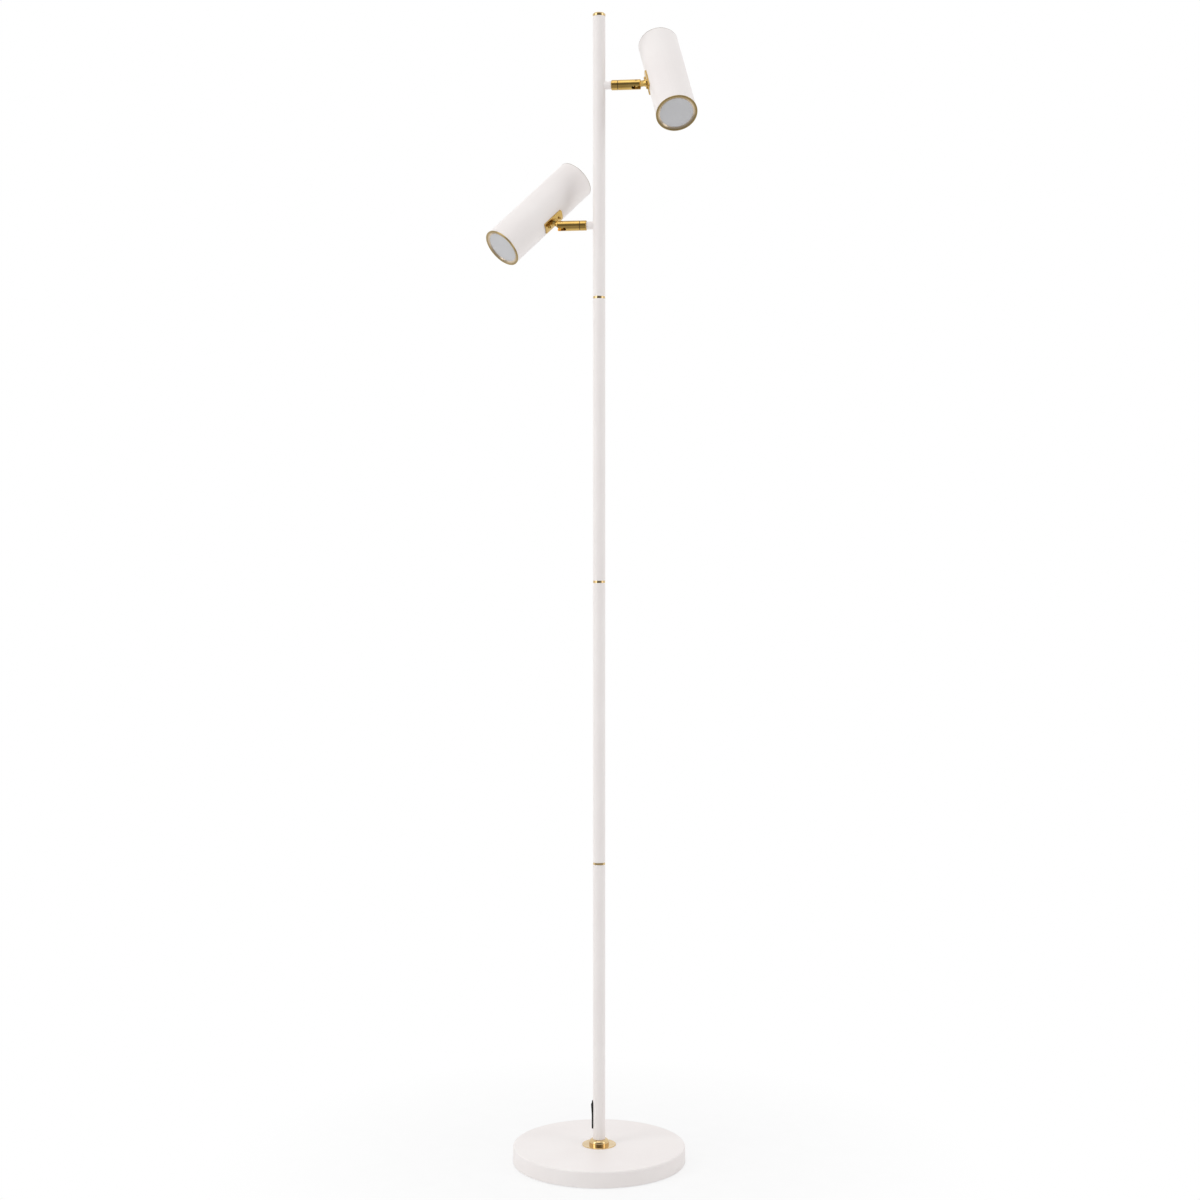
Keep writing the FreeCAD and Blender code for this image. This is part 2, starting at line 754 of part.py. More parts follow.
def make_knuckle_nut(name, head):
    seat = "spot_offset - sqrt((spot_diameter / 2 - spot_wall) ^ 2 - (knuckle_nut_width / 1.7320508) ^ 2)"
    body = new_body(f"{name}_knuckle_nut", head.multiply(shifted(size(seat) + size("fit_gap"))))
    pad(body, hexagon(body, "XY_Plane", "knuckle_nut_width"), "knuckle_nut_thickness")
    bore = rings(body, "XY_Plane", [("spigot_diameter + 2 * fit_gap", "0", "0")])
    pocket(body, bore, "knuckle_nut_thickness", towards_normal=True)


def make_saddle(name, head):
    """A plate rolled to the spot's curve, held by two dome-headed screws."""
    plate = new_body(f"{name}_saddle_plate", head)
    blank = outline(plate, "XY_Plane", box_corners(
        "-saddle_width / 2", "saddle_width / 2", "-saddle_length / 2", "saddle_length / 2"
    ))
    pad(plate, blank, "spot_offset - spot_diameter / 4")
    soften(plate, "Fillet", "saddle_round", along(FreeCAD.Vector(0, 0, 1)))
    inner, outer = "spot_diameter", "spot_diameter + 2 * saddle_thickness"
    bore = rings(plate, "XZ_Plane", [(inner, "0", "spot_offset")])
    pocket(plate, bore, "2 * saddle_length", both_ways=True)
    outside = rings(plate, "XZ_Plane", [(outer, "0", "spot_offset"), ("4 * spot_diameter", "0", "spot_offset")])
    pocket(plate, outside, "2 * saddle_length", both_ways=True)
    holes = rings(plate, "XY_Plane", [
        ("spigot_diameter + 2 * fit_gap", "0", "0"),
        ("screw_diameter + 2 * fit_gap", "0", "saddle_screw_pitch / 2"),
        ("screw_diameter + 2 * fit_gap", "0", "-saddle_screw_pitch / 2"),
    ])
    pocket(plate, holes, "spot_offset", towards_normal=True)
    screws = []
    under_head = "spot_offset - spot_diameter / 2 - saddle_thickness"
    for sign, end in ((1, "front"), (-1, "rear")):
        step = FreeCAD.Placement(FreeCAD.Vector(0, sign * size("saddle_screw_pitch / 2"), 0), FreeCAD.Rotation())
        screw = new_body(f"{name}_saddle_screw_{end}", head.multiply(step))
        revolve(screw, [
            ("0", f"{under_head} - screw_head_height"),
            ("screw_head_diameter / 4", f"{under_head} - screw_head_height"),
            ("screw_head_diameter / 2", f"{under_head} - screw_head_height / 2"),
            ("screw_head_diameter / 2", under_head),
            ("screw_diameter / 2", under_head),
            ("screw_diameter / 2", "screw_end"),
            ("0", "screw_end"),
        ])
        screws.append(screw)
    group_of_solids(f"{name}_saddle_screws", take_out(screws))


# --- Spotlights ---------------------------------------------------------------------------


def spot_frame(head):
    """The frame on a spot's own axis: Z to its front, Y back to the knuckle."""
    offset = FreeCAD.Vector(0, 0, size("spot_offset"))
    turn = FreeCAD.Rotation(FreeCAD.Vector(1, 0, 0), -90)
    return head.multiply(FreeCAD.Placement(offset, turn))


def make_housing(name, spot):
    body = new_body(f"{name}_housing", spot)
    outer, inner = "spot_diameter / 2", "spot_diameter / 2 - spot_wall"
    revolve(body, box_corners(inner, outer, "-spot_rear + rear_ring_thickness", "spot_front - bezel_length"))
    holes = rings(body, "XZ_Plane", [
        ("spigot_diameter + 2 * fit_gap", "0", "0"),
        ("screw_diameter + 2 * fit_gap", "0", "saddle_screw_pitch / 2"),
        ("screw_diameter + 2 * fit_gap", "0", "-saddle_screw_pitch / 2"),
    ])
    pocket(body, holes, "spot_diameter")


def make_rear_end(name, spot):
    back = "-spot_rear"
    seam = "-spot_rear + rear_ring_thickness"
    ring = new_body(f"{name}_rear_ring", spot)
    revolve(ring, box_corners("rear_ring_bore / 2", "rear_ring_diameter / 2", back, seam))
    cap = new_body(f"{name}_rear_cap", spot)
    disc, plug = "rear_ring_bore / 2 - fit_gap", "spot_diameter / 2 - spot_wall - fit_gap"
    revolve(cap, [
        ("0", f"{back} + rear_cap_recess"),
        (disc, f"{back} + rear_cap_recess"),
        (disc, seam),
        (plug, seam),
        (plug, f"{seam} + rear_cap_sleeve"),
        (f"{plug} - spot_wall", f"{seam} + rear_cap_sleeve"),
        (f"{plug} - spot_wall", f"{seam} + 1"),
        ("0", f"{seam} + 1"),
    ])


def make_front_end(name, spot):
    """The bezel with its sloping lip, and the diffuser that is pushed up against it from behind."""
    front, seam = "spot_front", "spot_front - bezel_length"
    bezel = new_body(f"{name}_bezel", spot)
    revolve(bezel, [
        ("bezel_window / 2", "spot_front - bezel_slope"),
        ("bezel_diameter / 2 - bezel_rim", front),
        ("bezel_diameter / 2 - bezel_edge", front),
        ("bezel_diameter / 2", "spot_front - bezel_edge"),
        ("bezel_diameter / 2", seam),
        ("spot_diameter / 2 - spot_wall - fit_gap", seam),
        ("spot_diameter / 2 - spot_wall - fit_gap", f"{seam} - bezel_sleeve"),
        ("bezel_seat_diameter / 2", f"{seam} - bezel_sleeve"),
        ("bezel_seat_diameter / 2", "spot_front - bezel_lip"),
        ("bezel_window / 2", "spot_front - bezel_lip"),
    ])
    diffuser = new_body(f"{name}_diffuser", spot)
    revolve(diffuser, box_corners(
        "0", "bezel_seat_diameter / 2 - fit_gap", "spot_front - bezel_lip - diffuser_thickness", "spot_front - bezel_lip"
    ))


def make_light_engine(name, spot):
    """Reflector, board and heat sink behind the diffuser, and the driver on the rear cap."""
    mouth = "spot_front - bezel_lip - diffuser_thickness"
    throat = f"{mouth} - reflector_depth"
    reflector = new_body(f"{name}_reflector", spot)
    revolve(reflector, [
        ("reflector_throat / 2", throat),
        ("reflector_throat / 2 + reflector_wall", throat),
        ("reflector_mouth / 2", f"{mouth} - reflector_wall"),
        ("reflector_mouth / 2", mouth),
        ("reflector_mouth / 2 - reflector_wall", mouth),
    ])
    board = new_body(f"{name}_led_board", spot)
    revolve(board, [
        ("0", f"{throat} - board_thickness"),
        ("board_diameter / 2", f"{throat} - board_thickness"),
        ("board_diameter / 2", throat),
        ("chip_diameter / 2", throat),
        ("chip_diameter / 2", f"{throat} + 1"),
        ("0", f"{throat} + 1"),
    ])
    sink_face = f"{throat} - board_thickness"
    sink = new_body(f"{name}_heat_sink", spot)
    fit = "spot_diameter / 2 - spot_wall - fit_gap"
    revolve(sink, [
        ("0", f"{sink_face} - sink_plate - sink_fin_length"),
        ("sink_core_diameter / 2", f"{sink_face} - sink_plate - sink_fin_length"),
        ("sink_core_diameter / 2", f"{sink_face} - sink_plate"),
        (fit, f"{sink_face} - sink_plate"),
        (fit, sink_face),
        ("0", sink_face),
    ])
    root = "sink_core_diameter / 2 - 1"
    blade = outline(sink, "XZ_Plane", box_corners(
        root, f"{fit} - 2", f"{sink_face} - sink_plate - sink_fin_length", f"{sink_face} - sink_plate"
    ))
    fin = pad(sink, blade, "sink_fin_thickness", both_ways=True)
    fins = sink.newObject("PartDesign::PolarPattern", f"{sink.Name}_fins")
    fins.Originals = [fin]
    fins.Axis = (blade, ["V_Axis"])
    fins.Angle = 360
    fins.Occurrences = FINS
    sink.Tip = fins
    doc.recompute()
    shelf = "-spot_rear + rear_ring_thickness + 1"
    driver = new_body(f"{name}_driver", spot.multiply(shifted(size(shelf))))
    pad(driver, outline(driver, "XY_Plane", box_corners(
        "-driver_width / 2", "driver_width / 2", "-driver_depth / 2", "driver_depth / 2"
    )), "driver_length")
    soften(driver, "Chamfer", "1", along(FreeCAD.Vector(0, 0, 1)))


# --- Assembly -----------------------------------------------------------------------------


def make_stand():
    make_base_cover()
    make_base_weight()
    make_foot_pad()
    make_base_flange()
    make_pole_fixing()
    make_cord_gland()
    make_pole_sections()
    make_pole_rings()
    make_top_cap()
    make_pole_lead()
    make_switch_housing()
    make_switch_rocker()


def make_arms():
    frames = {}
    for name, side in (("upper", 1), ("lower", -1)):
        height = size(f"{name}_arm_height")
        bracket = bracket_frame(side, height)
        fork = fork_frame(side, height, size(f"{name}_swivel"))
        head = head_frame(fork, size(f"{name}_tilt"))
        spot = spot_frame(head)
        frames[name] = bracket
        make_bracket(name, bracket)
        make_barrel(name, fork)
        make_knuckle(name, head)
        make_knuckle_nut(name, head)
        make_saddle(name, head)
        make_housing(name, spot)
        make_rear_end(name, spot)
        make_front_end(name, spot)
        make_light_engine(name, spot)
    make_arm_fasteners(frames)


def check_document():
    for item in doc.Objects:
        if "Invalid" in item.State or "Error" in item.State:
            raise ValueError(f"{item.Label} failed: {item.State}")
    for piece in pieces:
        if piece.Shape.isNull() or not piece.Shape.isValid():
            raise ValueError(f"{piece.Label} has no valid shape")


def write_pieces():
    os.makedirs("parts", exist_ok=True)
    for piece in pieces:
        piece.Shape.exportStep(f"parts/{piece.Label}.step")
        box = piece.Shape.BoundBox
        print(
            f"{piece.Label}: {len(piece.Shape.Solids)} solid(s), {piece.Shape.Volume / 1000:.2f} cm3, "
            f"x {box.XMin:.1f}..{box.XMax:.1f}, y {box.YMin:.1f}..{box.YMax:.1f}, z {box.ZMin:.1f}..{box.ZMax:.1f}"
        )
    print(f"{len(pieces)} sub-parts written")


make_stand()
make_arms()
doc.recompute()
check_document()
write_pieces()
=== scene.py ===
import json
import math

import bmesh
import bpy
from mathutils import Matrix, Vector


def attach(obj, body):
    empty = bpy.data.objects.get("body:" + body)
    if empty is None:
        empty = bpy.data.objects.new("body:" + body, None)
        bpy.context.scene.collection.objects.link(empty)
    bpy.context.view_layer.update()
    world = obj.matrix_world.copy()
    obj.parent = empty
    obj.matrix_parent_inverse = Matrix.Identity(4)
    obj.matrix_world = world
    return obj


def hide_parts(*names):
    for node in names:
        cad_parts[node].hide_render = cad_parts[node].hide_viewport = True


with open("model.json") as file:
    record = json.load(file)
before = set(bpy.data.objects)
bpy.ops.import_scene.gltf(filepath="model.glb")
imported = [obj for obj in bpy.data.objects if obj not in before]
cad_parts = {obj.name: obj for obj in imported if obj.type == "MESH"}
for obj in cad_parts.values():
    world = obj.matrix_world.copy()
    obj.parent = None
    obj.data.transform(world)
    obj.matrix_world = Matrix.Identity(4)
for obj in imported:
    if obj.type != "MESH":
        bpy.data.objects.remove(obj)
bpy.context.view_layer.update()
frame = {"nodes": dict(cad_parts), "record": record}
nodes = frame["nodes"]
joints = {joint["name"]: joint for joint in frame["record"]["behaviour"]["joints"]}

# Lengths are in metres and angles in degrees, unless a name says otherwise.

# The photograph's view of the lamp, with the pole's axis at the origin.
IMAGE_SIDE = 1200
FOCAL_PIXELS = 1955.3
POLE_PIXEL_X = 599.1
CAMERA_DISTANCE = 2.523
CAMERA_HEIGHT = 0.809
CAMERA_AZIMUTH = 7.9
CAMERA_PITCH = 1.78
SENSOR_MM = 36
CLIP_START = 0.05
CLIP_END = 50

# The room, whose turns are cosines of the angle to the camera's side. A level of 1 is white.
ROOM_BACK = 0.84
ROOM_FRONT = 0.18
ROOM_TURN = (0.55, 0.92)
WHITE_TURN = (0.0, 0.6)

# The floor. It fades by the distance from the lamp, or from the lamp towards the camera.
FLOOR_REACH = 12
FLOOR_NEAR = 0.72
FLOOR_FAR = 1
FLOOR_FADE = (0.18, 0.50)
FLOOR_BEHIND = (-0.6, 0.0)
FLOOR_AHEAD = (0.1, 0.5)
FLOOR_AHEAD_LEVEL = 0.42

# Softboxes: name, bearing round from the camera, height, distance, width and height, watts.
SOFTBOXES = (
    ("left_box", -58, 1.3, 2.2, (0.9, 2.2), 12.2),
    ("right_box", 62, 1.3, 2.2, (0.8, 2.2), 6.6),
    ("top_box", -20, 3.4, 1.0, (1.8, 1.8), 9.8),
)
AIM_HEIGHT = 0.8

# The middle of a noise's range, where it goes from a material's one tone to the other.
NOISE_SPAN = (0.3, 0.7)
NARROW_SPAN = (0.35, 0.65)

# Noises of the turned brass: scale and detail of its tone, and scale of its lathe marks.
BRASS_TONE = (60, 3)
BRASS_LATHE = 5200

# Sizes that the detailed pieces share with the solids.
SIDES = {"upper": 1, "lower": -1}
TILTS = {"upper": 13, "lower": 34}
SPOT_OFFSET = 0.0402
SPOT_RADIUS = 0.0259
SPOT_FRONT = 0.0735
SPOT_WALL = 0.002
FIT_GAP = 0.00005
BEZEL_RADIUS = 0.0264
BEZEL_LENGTH = 0.0016
BEZEL_RIM = 0.0024
BEZEL_WINDOW = 0.0213
BEZEL_SLOPE = 0.0013
BEZEL_SEAT = 0.0225
BEZEL_LIP = 0.0018
BEZEL_SLEEVE = 0.006
PLATE_THICKNESS = 0.0018
SCREW_PITCH = 0.020
SCREW_RADIUS = 0.0015
SCREW_END = 0.0186
HEAD_RADIUS = 0.0024
HEAD_HEIGHT = 0.0016
BASE_RADIUS = 0.112
COVER_WALL = 0.0012
GLAND_HEIGHT = 0.006
GLAND_NECK = 0.0035
GLAND_FLANGE = 0.0044
GLAND_BORE = 0.00175

# Finer shapes of the detailed pieces: how many steps a turn has, and the angle of a crease.
TURNS = 96
SHARP_EDGE = 35

# The bezel's rolled rim, its small eased edges and the width of the lip's painted pale
# reflection past the slope's top.
BEZEL_ROLL = 0.0005
BEZEL_EASE = 0.00012
PAINTED_SHEEN_MARGIN = 0.0004

# A screw's hexagon socket, with ratios to its width and depth.
SOCKET_WIDTH = 0.0020
SOCKET_DEPTH = 0.0010
SOCKET_FLOOR = 0.7
SOCKET_TAPER = 0.85
SOCKET_FLARE = 1.12
SOCKET_EASE = 0.0001

# Its head: a flat brow round the socket, a dome drawn at angles from the crown, and a skirt.
BROW_RATIO = 1.4
BROW_DROP = 0.00003
DOME_ANGLES = range(20, 91, 14)
DOME_POWER = 0.8
HEAD_SKIRT = 0.0002
HEAD_EDGE = 0.0001
SCREW_TIP = 0.0004

# The gland's bell mouth outside the wall, and the ribs of its grip inside.
GLAND_LIP = 0.0015
GLAND_RIM = 0.0009
GLAND_ROUND = 0.0008
GLAND_BELL = 0.0007
GLAND_PLAY = 0.0001
GLAND_INSIDE = 0.004
GLAND_STEP = 0.0002
GLAND_TAPER = 0.0007
RIBS = 4
RIB_PITCH = 0.0009
RIB_LENGTH = 0.0005
RIB_SLOPE = 0.00015
RIB_DEPTH = 0.0003
RIB_SETBACK = 0.0006
RIB_GROWTH = 0.00012


# --- Camera, floor and light --------------------------------------------------------------


def camera_side():
    """Level direction from the lamp to the camera."""
    azimuth = math.radians(CAMERA_AZIMUTH)
    return Vector((math.sin(azimuth), -math.cos(azimuth), 0))


def make_camera():
    data = bpy.data.cameras.new("camera")
    camera = bpy.data.objects.new("camera", data)
    bpy.context.scene.collection.objects.link(camera)
    data.sensor_width = SENSOR_MM
    data.lens = SENSOR_MM * FOCAL_PIXELS / IMAGE_SIDE
    data.shift_x = (IMAGE_SIDE / 2 - POLE_PIXEL_X) / IMAGE_SIDE
    data.clip_start = CLIP_START
    data.clip_end = CLIP_END
    camera.location = camera_side() * CAMERA_DISTANCE + Vector((0, 0, CAMERA_HEIGHT))
    tip = math.pi / 2 - math.radians(CAMERA_PITCH)
    camera.rotation_euler = (tip, 0, math.radians(CAMERA_AZIMUTH))
    bpy.context.scene.camera = camera


def make_floor():
    side = FLOOR_REACH
    corners = [(-side, -side, 0), (side, -side, 0), (side, side, 0), (-side, side, 0)]
    mesh = bpy.data.meshes.new("floor")
    mesh.from_pydata(corners, [], [(0, 1, 2, 3)])
    mesh.materials.append(floor_paint())
    floor = bpy.data.objects.new("floor", mesh)
    bpy.context.scene.collection.objects.link(floor)


def floor_paint():
    """Pale paint that keeps a faint shadow near the lamp and is plain white further out.

    Metal shows it as white behind the lamp and as part of the dimmer room in front of it.
    """
    recipe = Recipe("studio_floor")
    recipe.paint(recipe.noise(30), ((241, 241, 241), (245, 245, 245)))
    recipe.set(Roughness=0.9, Specular_IOR_Level=0.1)
    far = recipe.add("ShaderNodeVectorMath", operation="LENGTH")
    recipe.link(recipe.place, far.inputs[0])
    fade = recipe.between(far.outputs["Value"], FLOOR_FADE, FLOOR_NEAR, FLOOR_FAR)
    to_camera = recipe.product(fade, recipe.seen_by_camera())
    forward = recipe.along(camera_side())
    behind = recipe.between(forward, FLOOR_BEHIND, 1, 0)
    to_metal = recipe.product(behind, recipe.seen_in_metal())
    white = recipe.larger(to_camera, to_metal)
    ahead = recipe.between(forward, FLOOR_AHEAD, 0, 1)
    dim = recipe.product(ahead, recipe.seen_in_metal())
    shader = recipe.shader.outputs["BSDF"]
    for factor, strength in ((white, 1.0), (dim, FLOOR_AHEAD_LEVEL)):
        glow = recipe.add("ShaderNodeEmission", Strength=strength)
        mix = recipe.add("ShaderNodeMixShader")
        recipe.link(factor, mix.inputs["Fac"])
        recipe.link(shader, mix.inputs[1])
        recipe.link(glow.outputs["Emission"], mix.inputs[2])
        shader = mix.outputs["Shader"]
    recipe.link(shader, recipe.output.inputs["Surface"])
    return recipe.material


def make_world():
    """A white background, with a dimmer room on the camera's side of the lamp."""
    world = bpy.data.worlds.new("studio")
    bpy.context.scene.world = world
    world.use_nodes = True
    recipe = Recipe.of_tree(world.node_tree, "Generated")
    forward = recipe.along(camera_side())
    room = recipe.between(forward, ROOM_TURN, ROOM_BACK, ROOM_FRONT)
    behind = recipe.product(recipe.between(forward, WHITE_TURN, 1, 0), recipe.seen_in_metal())
    white = recipe.larger(recipe.seen_by_camera(), behind)
    background = recipe.tree.nodes["Background"]
    background.inputs["Color"].default_value = (1, 1, 1, 1)
    recipe.link(recipe.larger(room, white), background.inputs["Strength"])


def softbox(name, bearing, height, distance, size, power):
    """An area lamp that looks at the middle of the lamp."""
    data = bpy.data.lights.new(name, "AREA")
    data.shape = "RECTANGLE"
    data.size, data.size_y = size
    data.energy = power
    light = bpy.data.objects.new(name, data)
    bpy.context.scene.collection.objects.link(light)
    turn = Matrix.Rotation(math.radians(bearing), 3, "Z")
    light.location = turn @ camera_side() * distance + Vector((0, 0, height))
    view = Vector((0, 0, AIM_HEIGHT)) - light.location
    light.rotation_euler = view.to_track_quat("-Z", "Y").to_euler()


# --- Materials ----------------------------------------------------------------------------


def linear(colour):
    """Shader colour of an sRGB colour given as 0 to 255."""
    scaled = [value / 255 for value in colour]
    parts = [v / 12.92 if v <= 0.04045 else ((v + 0.055) / 1.055) ** 2.4 for v in scaled]
    return (*parts, 1)


class Recipe:
    """A procedural material, built node by node."""

    def __init__(self, name):
        self.material = bpy.data.materials.new(name)
        self.material.use_nodes = True
        self.tree = self.material.node_tree
        self.shader = self.tree.nodes["Principled BSDF"]
        self.output = self.tree.nodes["Material Output"]
        self.place = self.add("ShaderNodeTexCoord").outputs["Object"]

    @classmethod
    def of_tree(cls, tree, coordinate):
        """The same tools on another node tree, such as the world's."""
        recipe = cls.__new__(cls)
        recipe.tree = tree
        recipe.place = recipe.add("ShaderNodeTexCoord").outputs[coordinate]
        return recipe

    def add(self, kind, **settings):
        """A new node, with its properties and unlinked inputs set by name."""
        node = self.tree.nodes.new(kind)
        for key, value in settings.items():
            if hasattr(node, key):
                setattr(node, key, value)
            else:
                node.inputs[key].default_value = value
        return node

    def link(self, start, end):
        self.tree.links.new(start, end)

    def set(self, **values):
        """Constants on the shader's own sockets."""
        for key, value in values.items():
            self.shader.inputs[key.replace("_", " ")].default_value = value

    def noise(self, scale, detail=2.0, vector=None):
        """Noise with its scale in features per metre."""
        node = self.add("ShaderNodeTexNoise", Scale=scale, Detail=detail)
        self.link(vector or self.place, node.inputs["Vector"])
        return node.outputs["Fac"]

    def cells(self, scale):
        node = self.add("ShaderNodeTexVoronoi", Scale=scale)
        self.link(self.place, node.inputs["Vector"])
        return node.outputs["Distance"]

    def between(self, factor, span, low, high):
        """The factor's stretch over a span, spread from low to high and held there."""
        node = self.add("ShaderNodeMapRange")
        settings = {"From Min": span[0], "From Max": span[1], "To Min": low, "To Max": high}
        for key, value in settings.items():
            node.inputs[key].default_value = value
        self.link(factor, node.inputs["Value"])
        return node.outputs["Result"]

    def combine(self, operation, first, second):
        node = self.add("ShaderNodeMath", operation=operation)
        self.link(first, node.inputs[0])
        self.link(second, node.inputs[1])
        return node.outputs["Value"]

    def product(self, first, second):
        return self.combine("MULTIPLY", first, second)

    def larger(self, first, second):
        return self.combine("MAXIMUM", first, second)

    def along(self, direction):
        """How far a place lies in a direction."""
        node = self.add("ShaderNodeVectorMath", operation="DOT_PRODUCT")
        self.link(self.place, node.inputs[0])
        node.inputs[1].default_value = direction
        return node.outputs["Value"]

    def tones(self, factor, colours, span=NOISE_SPAN):
        """A colour that goes from the first to the second over a span of the factor."""
        node = self.add("ShaderNodeMix", data_type="RGBA")
        self.link(self.between(factor, span, 0, 1), node.inputs["Factor"])
        node.inputs["A"].default_value = linear(colours[0])
        node.inputs["B"].default_value = linear(colours[1])
        return node.outputs["Result"]

    def seen_by_camera(self):
        return self.add("ShaderNodeLightPath").outputs["Is Camera Ray"]

    def seen_in_metal(self):
        """1 for what metal or glass shows."""
        rays = self.add("ShaderNodeLightPath").outputs
        return self.larger(rays["Is Glossy Ray"], rays["Is Transmission Ray"])

    def height_and_radius(self, centre, axis):
        """How far a place lies along a turned piece's axis and away from it."""
        offset = self.add("ShaderNodeVectorMath", operation="SUBTRACT")
        self.link(self.place, offset.inputs[0])
        offset.inputs[1].default_value = centre
        height = self.add("ShaderNodeVectorMath", operation="DOT_PRODUCT")
        self.link(offset.outputs["Vector"], height.inputs[0])
        height.inputs[1].default_value = axis
        sideways = self.add("ShaderNodeVectorMath", operation="CROSS_PRODUCT")
        self.link(offset.outputs["Vector"], sideways.inputs[0])
        sideways.inputs[1].default_value = axis
        radius = self.add("ShaderNodeVectorMath", operation="LENGTH")
        self.link(sideways.outputs["Vector"], radius.inputs[0])
        return height.outputs["Value"], radius.outputs["Value"]

    def lathe_marks(self, scale, height, radius):
        """Noise that is the same all the way round a turned piece."""
        both = self.add("ShaderNodeCombineXYZ")
        self.link(height, both.inputs["X"])
        self.link(radius, both.inputs["Y"])
        return self.noise(scale, vector=both.outputs["Vector"])

    def paint(self, factor, colours, span=NOISE_SPAN):
        self.link(self.tones(factor, colours, span), self.shader.inputs["Base Color"])

    def polish(self, factor, low, high):
        rough = self.between(factor, NOISE_SPAN, low, high)
        self.link(rough, self.shader.inputs["Roughness"])

    def bump(self, height, strength, depth):
        node = self.add("ShaderNodeBump", Strength=strength, Distance=depth)
        self.link(height, node.inputs["Height"])
        self.link(node.outputs["Normal"], self.shader.inputs["Normal"])


def grained(name, colours, grain, rough, relief, tone=None, span=NOISE_SPAN, **settings):
    """A material with an uneven tone, and a grain that varies its gloss and gives it relief.

    The grain is a noise, given as scale and detail, and the relief is given as strength and
    depth. The tone follows a noise of its own, or else the grain.
    """
    recipe = Recipe(name)
    marks = recipe.noise(*grain)
    recipe.paint(recipe.noise(*tone) if tone else marks, colours, span)
    recipe.polish(marks, *rough)
    recipe.bump(marks, *relief)
    recipe.set(**settings)
    return recipe.material


def turned_brass(name, centre, axis, colours):
    """Lacquered brass with fine marks from the lathe round the piece's own axis."""
    recipe = Recipe(name)
    recipe.paint(recipe.noise(*BRASS_TONE), colours)
    marks = recipe.lathe_marks(BRASS_LATHE, *recipe.height_and_radius(centre, axis))
    recipe.polish(marks, 0.08, 0.15)
    recipe.bump(marks, 0.08, 0.00002)
    recipe.set(Metallic=1.0, Coat_Weight=0.25, Coat_Roughness=0.12)
    return recipe.material


def bezel_brass_painted_light(name, centre, axis):
    """Brass of a spotlight's front ring, darkened with painted shade, with a sloping lip whose
    pale tone is a painted reflection.
    """
    recipe = Recipe(name)
    # The ring's darker brass tones are painted shade, standing in for the dim reflections that
    # it shows.
    tone = recipe.tones(recipe.noise(*BRASS_TONE), ((168, 145, 97), (153, 131, 84)))
    height, radius = recipe.height_and_radius(centre, axis)
    lip = (BEZEL_WINDOW, BEZEL_RADIUS - BEZEL_RIM + PAINTED_SHEEN_MARGIN)
    painted_sheen_blend = recipe.add("ShaderNodeMix", data_type="RGBA")
    recipe.link(recipe.between(radius, lip, 1, 0), painted_sheen_blend.inputs["Factor"])
    recipe.link(tone, painted_sheen_blend.inputs["A"])
    # The lip's pale colour is a painted reflection.
    painted_sheen_blend.inputs["B"].default_value = linear((222, 205, 184))
    recipe.link(painted_sheen_blend.outputs["Result"], recipe.shader.inputs["Base Color"])
    marks = recipe.lathe_marks(BRASS_LATHE, height, radius)
    recipe.polish(marks, 0.20, 0.30)
    recipe.bump(marks, 0.10, 0.00002)
    recipe.set(Metallic=1.0, Coat_Weight=0.25, Coat_Roughness=0.15)
    return recipe.material


def spun_aluminium(name, centre, axis):
    """Bright aluminium with the fine rings that spinning leaves."""
    recipe = Recipe(name)
    marks = recipe.lathe_marks(3000, *recipe.height_and_radius(centre, axis))
    recipe.paint(marks, ((224, 225, 227), (238, 238, 239)))
    recipe.polish(marks, 0.16, 0.30)
    recipe.bump(marks, 0.12, 0.00003)
    recipe.set(Metallic=1.0)
    return recipe.material


def foam_rubber():
    """Dull dark foam with fine pores."""
    recipe = Recipe("foam_rubber")
    pores = recipe.cells(1100)
    recipe.paint(pores, ((34, 34, 35), (62, 61, 60)), (0.1, 0.6))
    recipe.polish(pores, 0.80, 0.95)
    recipe.bump(pores, 0.35, 0.0003)
    recipe.set(Specular_IOR_Level=0.2)
    return recipe.material


def powder_coat():
    """Fine satin powder coat: a soft orange-peel skin with a slightly uneven tone."""
    return grained(
        "white_powder_coat",
        colours=((245, 240, 238), (242, 236, 234)),
        span=NARROW_SPAN,
        tone=(11, 3),
        grain=(1400, 2),
        rough=(0.40, 0.52),
        relief=(0.05, 0.00015),
        Specular_IOR_Level=0.45,
    )


def pressed_brass():
    """Lacquered brass of the pieces that are pressed or milled, with a faint satin grain."""
    return grained(
        "pressed_brass",
        colours=((209, 175, 101), (194, 158, 85)),
        tone=(70, 3),
        grain=(2600, 3),
        rough=(0.10, 0.18),
        relief=(0.08, 0.00003),
        Metallic=1.0,
        Coat_Weight=0.25,
        Coat_Roughness=0.15,
    )


def satin_edge():
    """The greyish line of metal round the back of each spotlight, greyer than the brass."""
    return grained(
        "satin_rear_edge",
        colours=((196, 189, 180), (184, 177, 168)),
        tone=(80, 2),
        grain=(2400, 2),
        rough=(0.35, 0.48),
        relief=(0.10, 0.00003),
        Metallic=0.85,
    )


def black_plastic():
    """Moulded plastic with a fine spark-eroded texture."""
    return grained(
        "black_plastic",
        colours=((11, 11, 12), (19, 19, 20)),
        grain=(2600, 2),
        rough=(0.38, 0.52),
        relief=(0.15, 0.00005),
        Specular_IOR_Level=0.35,
    )


def opal_acrylic():
    """Unlit opal sheet with a finely frosted face."""
    return grained(
        "opal_acrylic",
        colours=((200, 200, 202), (195, 195, 197)),
        tone=(35, 2),
        grain=(3000, 2),
        rough=(0.50, 0.62),
        relief=(0.04, 0.00005),
        Specular_IOR_Level=0.4,
    )


def zinc_steel():
    """Zinc plate with the soft clouds of its bath."""
    return grained(
        "zinc_plated_steel",
        colours=((176, 177, 174), (200, 199, 190)),
        tone=(240, 3),
        grain=(900, 3),
        rough=(0.26, 0.42),
        relief=(0.12, 0.00005),
        Metallic=1.0,
    )


